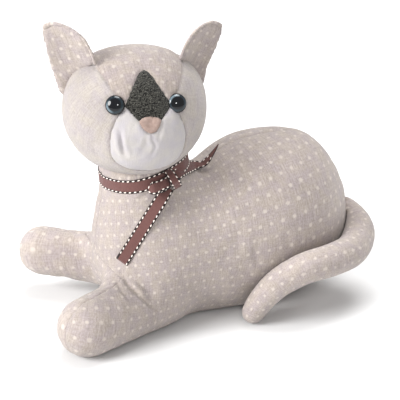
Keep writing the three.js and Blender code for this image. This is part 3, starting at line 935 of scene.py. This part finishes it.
def make_ear(node, side, *shares):
    place = (
        HEAD
        @ Matrix.Diagonal((side, 1, 1, 1))
        @ Matrix.Translation(EAR_FOOT * MM)
        @ Matrix.Rotation(EAR_LEAN, 4, "Y")
        @ Matrix.Rotation(EAR_TURN, 4, "Z")
    )
    obj = skin_over(node + "_cover", [node], 1.5 * MM, 5)
    rows = [(up, *ear_edge(up)) for up in EAR_LEVELS]
    outer = curve_through([(a + EAR_RIM[0], up) for up, a, _ in rows])
    inner = curve_through([(b - EAR_RIM[1], up) for up, _, b in rows])
    middle = (outer[-1][0] + inner[-1][0]) / 2
    outline = [*outer, (middle, EAR_TOP), *reversed(inner)]
    to_local = place.inverted()
    with editing(obj.data) as bm:
        cut_along(bm, curve_through(outline[len(outer) - 3 : len(outer) + 4], 2), place, lambda y: True)
        cut_along(bm, outline, place, lambda y: True)
        for f in bm.faces:
            x, y, z = to_local @ f.calc_center_median() / MM
            a, b = ear_edge(z)
            reach = max((b - a) / 2, 1)
            bend = -EAR_CUP * (min(1, abs(x - (a + b) / 2) / reach) ** 2 - EAR_LEVEL) * reach / EAR_HALF
            f.material_index = int(y < bend and inside(outline, x, z))
    guide = guide_at(place, 4, 0, 25)
    flatten(obj, {0: guide, 1: guide})
    roll_ear(obj, place, *shares)
    subdivide(obj, 1)
    work_seams(obj, 1.1 * MM, 3 * MM, 0.15 * MM)
    seat(obj, head_tree, 2.5 * MM, 2 * MM)
    sew(obj, 0.35 * MM, 0.8 * MM)
    dress(obj, dotted_linen, node)


# The tail
TAIL = [
    spot(*p)
    for p in (
        (108, 0, 74), (134, -9, 67), (140, -31, 59), (124, -56, 53), (98, -70.5, 53),
        (69, -74.5, 51), (47, -70.5, 39), (33, -65.5, 22), (27, -63, 10.8), (24, -62, 4),
    )
]
TAIL_STEP, TAIL_PRINT = 1 * MM, 12.5 * MM  # along its line, and the radius that the print goes round at
SEAM_STEPS = (60, -12, 6)  # where its seam starts and ends, and how often it is looked for
SEAM_UP, SEAM_FORWARD, SEAM_FROM = 0.85, 0.5, 40 * MM


def at_tail_root(p):
    return p[0] > 0.1 and p[1] > -0.022


def make_tail():
    obj = skin_over("tail_cover", ["tail"], 2.6 * MM, 7)
    subdivide(obj, 1)
    mesh = obj.data
    line, share = dense(spline3(TAIL), TAIL_STEP)
    length = sum((b - a).length for a, b in zip(line, line[1:]))
    places = read(mesh)
    _, which = nearest_on(line, places)
    up, turns = Vector((0, 0, 1)), []
    for a, b in zip(line, [*line[1:], 2 * line[-1] - line[-2]]):
        way = (b - a).normalized()
        up = (up - way * up.dot(way)).normalized()
        turns.append((up.copy(), way.cross(up)))
    angle = np.empty(len(places))
    for i, p in enumerate(places):
        off = Vector(p) - line[which[i]]
        angle[i] = math.atan2(off.dot(turns[which[i]][1]), off.dot(turns[which[i]][0]))
    layer = mesh.uv_layers.new(name="cloth")
    for polygon in mesh.polygons:
        first = None
        for corner in polygon.loop_indices:
            v = mesh.loops[corner].vertex_index
            first = angle[v] if first is None else first
            a = angle[v] - 2 * math.pi * round((angle[v] - first) / (2 * math.pi))
            layer.uv[corner].vector = (share[which[v]] * length, a * TAIL_PRINT)
    tree = joined_tree(obj)
    seam = []
    for i in range(len(line))[slice(*SEAM_STEPS)]:
        upper = back.cross((line[i + 1] - line[i]).normalized()).normalized()
        ray = (upper if upper.z > 0 else -upper) * SEAM_UP + back * SEAM_FORWARD
        hit = tree.ray_cast(line[i] + ray * SEAM_FROM, -ray)[0]
        if hit is not None:
            seam.append(hit)
    crease(obj, even(seam, 3), 0.5 * MM, 0.8 * MM, 0.6)
    seat(obj, body_tree, 3 * MM, 2.5 * MM, at_tail_root)
    obj.data.shade_smooth()
    dress(obj, dotted_linen, "tail")


# The eyes: a domed lens on a shank, painted in rings; in millimetres
EYE_RADIUS, EYE_FOOT, DOME, EYE_AROUND = 8.0, 1.3, 4.7, 56
SHANK, SHANK_END, SHANK_LENGTH, SHANK_TIP = 2, -14.7, 14.2, 0.3
RIM = [(SHANK, SHANK_END), (SHANK, -0.8), (7.4, -0.7), (7.85, -0.4), (EYE_RADIUS, 0.1), (EYE_RADIUS, 1.2)]


def make_eye(node, glint, moved, facing):
    """Glint is the way, to the right and up, towards which the ring round the pupil is painted lighter: painted
    light through the lens.
    """
    source = np.array([v.co[:] for v in nodes[node].data.vertices])
    middle = source.mean(0)
    far = np.linalg.norm(source - middle, axis=1)
    foot = source[far > far.max() - SHANK_TIP * MM].mean(0)
    axis = Vector(middle - foot).normalized()
    origin = Vector(foot) + axis * SHANK_LENGTH * MM + (RIGHT * moved[0] + UP * moved[1]) * MM
    axis = (axis + back * facing).normalized()
    turn = axis.to_track_quat("Z", "Y").to_matrix()
    angles = np.radians(np.linspace(0, 90, 22)[1:-1])
    profile = [*RIM, *((EYE_RADIUS * math.cos(t), EYE_FOOT + DOME * math.sin(t)) for t in angles)]
    around = EYE_AROUND
    toward = (RIGHT * glint[0] + UP * glint[1]).normalized()
    places, radius, light = [], [], []
    for r, h in profile:
        for j in range(around):
            a = 2 * math.pi * j / around
            ray = turn @ Vector((math.cos(a), math.sin(a), 0))
            places.append(origin + (ray * r + axis * h) * MM)
            radius.append(r if h > -0.5 else EYE_RADIUS)
            # painted light: how much each point faces the glint, for the painted lighter side of the ring
            light.append(max(0.0, ray.dot(toward)))
    places += [origin + axis * SHANK_END * MM, origin + axis * (EYE_FOOT + DOME) * MM]
    radius += [EYE_RADIUS, 0.0]
    light += [0.0, 0.0]
    faces = []
    for i in range(len(profile) - 1):
        for j in range(around):
            a, b = i * around + j, i * around + (j + 1) % around
            faces.append((a, b, b + around, a + around))
    last = (len(profile) - 1) * around
    for j in range(around):
        k = (j + 1) % around
        faces += [(k, j, len(places) - 2), (last + j, last + k, len(places) - 1)]
    mesh = mesh_from(node + "_lens", places, faces)
    mesh.attributes.new("radius", "FLOAT", "POINT").data.foreach_set("value", radius)
    mesh.attributes.new("light", "FLOAT", "POINT").data.foreach_set("value", light)
    mesh.shade_smooth()
    dress(add_object(node + "_lens", mesh), glass, node)


def eye_glass():
    c = Cloth("eye_glass")
    radius = c.node("Attribute", attribute_name="radius", out=2)
    place = c.in_space()
    light = c.node("Attribute", attribute_name="light", out=2)
    dark = c.mix(c.vary(c.noise(place, 2.2, 2)), linear(20, 31, 37), linear(34, 48, 56))
    # painted light: the ring is painted lighter on the side that faces the glint
    ring = c.mix(c.ramp(light, 0.5, 1.0), dark, linear(98, 112, 120))
    inner = c.mix(c.ramp(radius, 4.9, 5.9), linear(3, 5, 9), ring)
    shown = c.mix(c.ramp(radius, 6.7, 7.2), inner, linear(8, 10, 13))
    return c.finish(shown, 0.04, Specular_IOR_Level=0.45)


def washer_plastic():
    c = Cloth("washer_plastic")
    place = c.in_space()
    grain = c.noise(place, 0.6, 3)
    shown = c.mix(c.vary(c.noise(place, 4)), linear(232, 232, 228), linear(222, 223, 220))
    return c.finish(shown, c.vary(grain, 0.42, 0.55), grain, 0.00005)


# The ribbon: strips of grosgrain with a saddle stitch along both edges
WIDTH, THICK = 11.6 * MM, 0.5 * MM
wrapped = joined_tree(body, *head_pieces.values())


def clear_of(tree, p, side, out, least):
    """How far a strip's cross-section has to rise to clear what it lies on."""
    need = -1.0
    for share in (-1, -0.6, -0.2, 0.2, 0.6, 1):
        start = p + side * share * WIDTH / 2 + out * 0.02
        hit = tree.ray_cast(start, -out, 0.04)[0]
        if hit is not None:
            need = max(need, (hit - p - side * share * WIDTH / 2).dot(out) + least)
    return need


def strip(name, rows, closed=False):
    """A flat ribbon through (middle, side, out) rows."""
    offsets = [-1, -0.96, -0.7, -0.35, 0, 0.35, 0.7, 0.96, 1]
    places, along, gone = [], [], 0.0
    for i, (p, side, out) in enumerate(rows):
        gone += (p - rows[i - 1][0]).length if i else 0
        along.append(gone)
        for sign in (1, -1):
            for k in offsets if sign > 0 else offsets[::-1]:
                thin = 0.35 if abs(k) == 1 else 1
                places.append(p + side * k * WIDTH / 2 + out * sign * thin * THICK / 2)
    size, faces, flat = 2 * len(offsets), [], []
    across = [k * WIDTH / 2 for k in offsets + offsets[::-1]]
    count = len(rows)
    whole = gone + ((rows[0][0] - rows[-1][0]).length if closed else 0)
    for i in range(count if closed else count - 1):
        n = (i + 1) % count
        for j in range(size):
            k = (j + 1) % size
            faces.append((i * size + j, i * size + k, n * size + k, n * size + j))
            here, ahead = along[i], whole if n == 0 else along[n]
            flat.append(((here, across[j]), (here, across[k]), (ahead, across[k]), (ahead, across[j])))
    if not closed:
        for i, order in ((0, range(size)), (count - 1, range(size)[::-1])):
            faces.append(tuple(i * size + j for j in order))
            flat.append(tuple((along[i], across[j]) for j in order))
    mesh = mesh_from(name, places, faces)
    layer = mesh.uv_layers.new(name="cloth")
    layer.uv.foreach_set("vector", [x for face in flat for pair in face for x in pair])
    face_outward(mesh)
    mesh.shade_smooth()
    obj = add_object(name, mesh)
    dress(obj, grosgrain, "ribbon")
    return obj, whole


STITCH_EVERY, STITCH, STITCH_IN = 4.6 * MM, Vector((1.2, 0.54, 0.34)) * MM, 1.05 * MM
STITCH_SLANT, NARROWEST = 0.16, 0.4  # past the middle of a strip, a narrower place has no stitches


def stitches(name, rows, closed=False):
    """White stitches along both edges, each a little slanted."""
    pieces = bmesh.new()
    for edge in (-1, 1):
        line, outs = [], []
        for i, (p, side, out) in enumerate(rows):
            if i > len(rows) / 2 and side.length < NARROWEST:
                break
            reach = max(side.length * WIDTH / 2 - STITCH_IN, 0)
            line.append(p + side.normalized() * edge * reach + out * THICK / 2)
            outs.append(out)
        if closed:
            line, outs = [*line, line[0]], [*outs, outs[0]]
        gone = np.concatenate([[0], np.cumsum([(b - a).length for a, b in zip(line, line[1:])])])
        count = int(gone[-1] / STITCH_EVERY)
        step = gone[-1] / count if closed else STITCH_EVERY
        for i in range(count):
            at = (i + 0.5 + 0.25 * edge) * step
            k = min(int(np.searchsorted(gone, at)) - 1, len(line) - 2)
            t = (at - gone[k]) / (gone[k + 1] - gone[k])
            out = outs[k].lerp(outs[k + 1], t).normalized()
            way = (line[k + 1] - line[k]).normalized()
            way = (way + out.cross(way) * STITCH_SLANT).normalized()
            place = Matrix((way, out.cross(way), out)).transposed().to_4x4()
            place.translation = line[k].lerp(line[k + 1], t)
            place = place @ Matrix.Diagonal((*STITCH, 1))
            bmesh.ops.create_icosphere(pieces, subdivisions=2, radius=1, matrix=place)
    mesh = bpy.data.meshes.new(name)
    pieces.to_mesh(mesh)
    pieces.free()
    mesh.shade_smooth()
    obj = add_object(name, mesh)
    dress(obj, thread, "ribbon")
    return obj


def ribbon_cloth():
    c = Cloth("grosgrain")
    place = c.on_cloth()
    parts = c.node("SeparateXYZ", {0: place}).node
    edge = c.ramp(c.sum("ABSOLUTE", parts.outputs[1]), 3.6, 4.4)
    rib = c.sum("SINE", c.sum("MULTIPLY", parts.outputs[0], 2 * math.pi / 0.85))
    threads = c.noise(place, (0.5, 4, 1), 2)
    middle = c.tone(linear(104, 68, 64), c.vary(threads, 0.93, 1.07))
    shown = c.mix(edge, c.tone(middle, c.ramp(rib, -1, 1, 0.88, 1.05)), linear(34, 19, 18))
    sheen = {"Sheen_Weight": 0.2, "Sheen_Roughness": 0.4, "Specular_IOR_Level": 0.35}
    return c.finish(shown, 0.6, rib, 0.0001, **sheen)


def stitch_thread():
    c = Cloth("stitch_thread")
    place = c.in_space()
    twist = c.noise(place, (0.3, 0.3, 0.3), 2)
    shown = c.tone(linear(250, 238, 228), c.vary(twist, 0.95, 1.03))
    return c.finish(shown, 0.6, twist, 0.0001)


grosgrain, thread = ribbon_cloth(), stitch_thread()


def lifted(rows, least=0.5 * MM, most=9 * MM):
    """The same strip, brought nearer to the camera where the cat would hide it."""
    needs = []
    for p, side, _ in rows:
        need = 0.0
        for share in (-1, -0.5, 0, 0.5, 1):
            x = p + side * share * WIDTH / 2
            hit = wrapped.ray_cast(camera.location, (x - camera.location).normalized())[0]
            short = (hit - x).dot(back) + least if hit else 0.0
            need = max(need, short if short < most else 0.0)
        needs.append(need)
    for _ in range(2):
        needs = np.maximum(needs, np.convolve(np.pad(needs, 1, "edge"), [0.25, 0.5, 0.25], "valid"))
    return [(p + back * float(need), side, out) for (p, side, out), need in zip(rows, needs)]


BAND_AT = spot(-53, 0, 135.5)
BAND_UP = Vector((-0.21, 0, 1)).normalized()


def band_rows(count=120):
    rows, radii = [], []
    for i in range(count):
        a = 2 * math.pi * i / count
        out = Vector((math.cos(a), math.sin(a), 0))
        out = (out - BAND_UP * out.dot(BAND_UP)).normalized()
        hits = []
        for h in (-4.5, -2, 0, 2, 4.5):
            start = BAND_AT + BAND_UP * h * MM + out * 0.08
            hit = wrapped.ray_cast(start, -out, 0.08)[0]
            hits.append((hit - BAND_AT).dot(out))
        slope = np.clip((hits[4] - hits[0]) / 0.009, -0.45, 0.45)
        radii.append((max(hits[2], (hits[1] + hits[3]) / 2), slope))
        rows.append(out)
    radii = np.array(radii)
    for _ in range(4):
        radii = (np.roll(radii, 1, 0) + 2 * radii + np.roll(radii, -1, 0)) / 4
    made = []
    for out, (r, slope) in zip(rows, radii):
        side = (BAND_UP + out * float(slope)).normalized()
        way = side.cross(out).normalized()
        made.append((BAND_AT + out * float(r), side, way.cross(side).normalized()))
    made = [(p, side, out if out.dot(p - BAND_AT) > 0 else -out) for p, side, out in made]
    needs = np.array([clear_of(wrapped, p, side, out, 0.45 * MM) for p, side, out in made])
    for _ in range(2):
        needs = np.maximum(needs, (np.roll(needs, 1) + 2 * needs + np.roll(needs, -1)) / 4)
    return [(p + out * float(need), side, out) for (p, side, out), need in zip(made, needs)]


def ribbon_piece(name, rows, closed=False):
    obj, length = strip(name, rows, closed)
    sewn = stitches(name + "_stitches", rows, closed)


def between(edges, rises, widths, count=9):
    """Rows for a strip whose lower and upper edges are seen at pairs of photograph points."""
    middles, sides = [], []
    for (lower, upper), rise, width in zip(edges, rises, widths):
        if rise is not None:
            p = seen_at(wrapped, *lower) + back * rise * MM
        else:
            p = level_with(p, *lower)
        q = level_with(p, *upper)
        q -= back * math.sqrt(max(0, (width * WIDTH) ** 2 - (p - q).length ** 2))
        middles.append((p + q) / 2)
        sides.append((p - q).normalized())
    line = spline3(middles, count)
    knots = np.linspace(0, len(line) - 1, len(edges))
    rows = []
    for i, p in enumerate(line):
        side = Vector([float(np.interp(i, knots, [v[k] for v in sides])) for k in range(3)])
        way = (line[min(i + 1, len(line) - 1)] - line[max(i - 1, 0)]).normalized()
        side = (side - way * side.dot(way)).normalized()
        out = side.cross(way)
        out = out if out.dot(back + Vector((0, 0, 0.5))) > 0 else -out
        rows.append((p, side * float(np.interp(i, knots, widths)), out))
    return rows


def rounded(rows, reach):
    """The same strip with a half-round first end."""
    gone, made = 0.0, []
    for i, (p, side, out) in enumerate(rows):
        gone += (p - rows[i - 1][0]).length if i else 0
        made.append((p, side * max(0.06, math.sqrt(1 - (1 - min(gone / reach, 1)) ** 2)), out))
    return made


LONG_END = [
    ((174.5, 191), (163, 184)), ((164.5, 207), (153, 199.5)), ((151.8, 226.9), (140.3, 219.5)),
    ((139.6, 246.5), (128, 239)), ((127.5, 265), (115.3, 259)),
]
SHORT_END = [
    ((149.2, 195.2), (147.8, 182)), ((154.5, 195), (153, 181.5)), ((161, 191), (160, 180.3)),
    ((168.5, 188), (166, 177)), ((175.5, 183.5), (171, 173)), ((182.3, 178), (176.5, 167)),
    ((190, 173.6), (184, 162)), ((198, 169.6), (192, 160.4)), ((205, 166), (199, 162.5)),
    ((209.5, 162.3), (205, 158)), ((212.5, 157), (210, 153.2)), ((216, 150.3), (214.5, 148.2)),
    ((218.6, 144.2), (218.2, 143.8)),
]
LOOP_BACK = [((152, 193.5), (151, 183)), ((161, 193), (160, 181)), ((172, 186), (168, 176))]
KNOT = [
    ((163.5, 172), (171, 168)), ((167, 176.5), (175, 172.5)), ((170.5, 183), (179, 179)),
    ((173, 187.5), (181.5, 183.5)), ((173.5, 190), (182, 186)),
]
ribbon_piece("ribbon_band", band_rows(), closed=True)
long_rows = lifted(between(LONG_END, [6, 2.5, 1.2, 0.8, 1], [0.85, 1, 1, 1, 1], 14))
ribbon_piece("ribbon_long_end", long_rows)
short_rows = between(
    SHORT_END,
    [7, 9.5, 9, 8.5, 6.5, 4, 3, 2.5, None, None, None, None, None],
    [1, 1, 0.85, 0.85, 0.85, 0.9, 0.95, 0.86, 0.76, 0.6, 0.45, 0.25, 0.08],
)
short_rows = lifted(rounded(short_rows, WIDTH / 2))
ribbon_piece("ribbon_short_end", short_rows)
loop_rows = lifted(between(LOOP_BACK, [4, 4.5, 4], [0.95, 1, 0.8]))
ribbon_piece("ribbon_loop_back", loop_rows)
knot_rows = between(KNOT, [2, 9, 12.5, 9.5, 3], [0.72, 0.75, 0.75, 0.75, 0.7])
ribbon_piece("ribbon_knot", knot_rows)

# The base panel, with a stitched rim
BASE_REACH, BASE_THICK = Vector((56, 22)) * MM, 1.5 * MM
BASE_RINGS, BASE_AROUND, BASE_RIM = np.linspace(0.06, 0.97, 12), 96, 0.012
ROW_IN, ROW_WIDTH, ROW_DEPTH = 2.6, 0.7, 0.3  # the row of stitches along the rim, in millimetres


def make_base():
    around = BASE_AROUND
    rims = [1 - BASE_RIM * (1 - math.cos(k * math.pi / 4)) for k in range(5)]
    rows = [(r, 0) for r in BASE_RINGS] + [(rims[4 - k], k / 4) for k in range(5)]
    rows += [(r, 1) for r in BASE_RINGS[::-1]]
    places = []
    for r, up in rows:
        groove = math.exp(-((((1 - r) * BASE_REACH.y / MM - ROW_IN) / ROW_WIDTH) ** 2)) * ROW_DEPTH
        for j in range(around):
            a = 2 * math.pi * j / around
            x, y = BASE_REACH.x * r * math.cos(a), BASE_REACH.y * r * math.sin(a)
            height = BASE_THICK * up + (groove if up == 0 else -groove if up == 1 else 0) * MM
            places.append(spot(*BASE_AT, 0) + Vector((x, y, height)))
    faces = []
    for i in range(len(rows) - 1):
        for j in range(around):
            k = (j + 1) % around
            faces.append((i * around + j, (i + 1) * around + j, (i + 1) * around + k, i * around + k))
    last = (len(rows) - 1) * around
    faces += [tuple(range(around)), tuple(last + j for j in reversed(range(around)))]
    mesh = mesh_from("base_cover", places, faces)
    layer = mesh.uv_layers.new(name="cloth")
    for loop in mesh.loops:
        layer.uv[loop.index].vector = mesh.vertices[loop.vertex_index].co.xy
    face_outward(mesh)
    mesh.shade_smooth()
    dress(add_object("base_cover", mesh), base_cloth, "base_panel")


# The bag of sand inside the body
def make_bag():
    obj = skin_over("sand_bag", ["weight_bag"], 3 * MM, 4)
    places, normals = read(obj.data), read(obj.data, "normal")
    coarse, fine = 55, 140  # lumps a metre
    lumps = [noise.noise(Vector(p) * coarse) + 0.5 * noise.noise(Vector(p) * fine) for p in places]
    write(obj.data, places + normals * (np.array(lumps) - 0.8)[:, None] * 0.8 * MM)
    obj.data.shade_smooth()
    c = Cloth("sand_bag")
    place = c.in_space()
    threads = c.noise(place, 0.5, 3)
    shown = c.mix(c.vary(c.noise(place, 12, 3)), linear(206, 196, 176), linear(190, 178, 156))
    finish = c.finish(c.tone(shown, c.vary(threads, 0.94, 1.05)), 0.9, threads, 0.0003)
    dress(obj, finish, "weight_bag")


make_base()
make_bag()
make_ear("ear_left", 1, 0.5, 0.0, 0.03)
make_ear("ear_right", -1, 0.26, 0.36, -0.05)
make_tail()
glass, plastic = eye_glass(), washer_plastic()
for side, glint, moved, facing in (
    ("left", (-0.9, -0.45), (-1.2, 0.5), 0.9),
    ("right", (-0.6, 0.8), (-1.5, -0.5), 2.2),
):
    make_eye("eye_" + side, glint, moved, facing)
    washer = nodes["eye_washer_" + side]
    washer.data.materials.clear()
    washer.data.materials.append(plastic)

# Floor and light
FLOOR_REACH = 30
corners = [(x * FLOOR_REACH, y * FLOOR_REACH, 0) for x, y in ((-1, -1), (1, -1), (1, 1), (-1, 1))]
floor = add_object("floor", mesh_from("floor", corners, [(0, 1, 2, 3)]))
paint = Cloth("floor")
floor.data.materials.append(paint.finish((0.78, 0.78, 0.78, 1.0), 0.9, Specular_IOR_Level=0.1))

world = bpy.data.worlds.new("world")
scene.world = world
world.use_nodes = True
sky = world.node_tree.nodes["Background"].inputs
sky["Color"].default_value = (1, 1, 1, 1)
sky["Strength"].default_value = 0.6


def lamp(name, place, aim, size, power):
    data = bpy.data.lights.new(name, "AREA")
    data.shape, data.size, data.energy = "DISK", size, power
    obj = bpy.data.objects.new(name, data)
    scene.collection.objects.link(obj)
    obj.location = place
    obj.rotation_mode = "QUATERNION"
    obj.rotation_quaternion = (Vector(aim) - Vector(place)).to_track_quat("-Z", "Y")


lamp("key", (-6.9, -0.8, 3.8), (0, 0, 0.1), 4.4, 830)
lamp("top", (1.8, 1.8, 7.4), (0, 0, 0.1), 5.0, 520)
lamp("glint", camera.location + RIGHT * 0.2 + UP * 0.16, (-0.06, 0, 0.19), 0.16, 2.2)
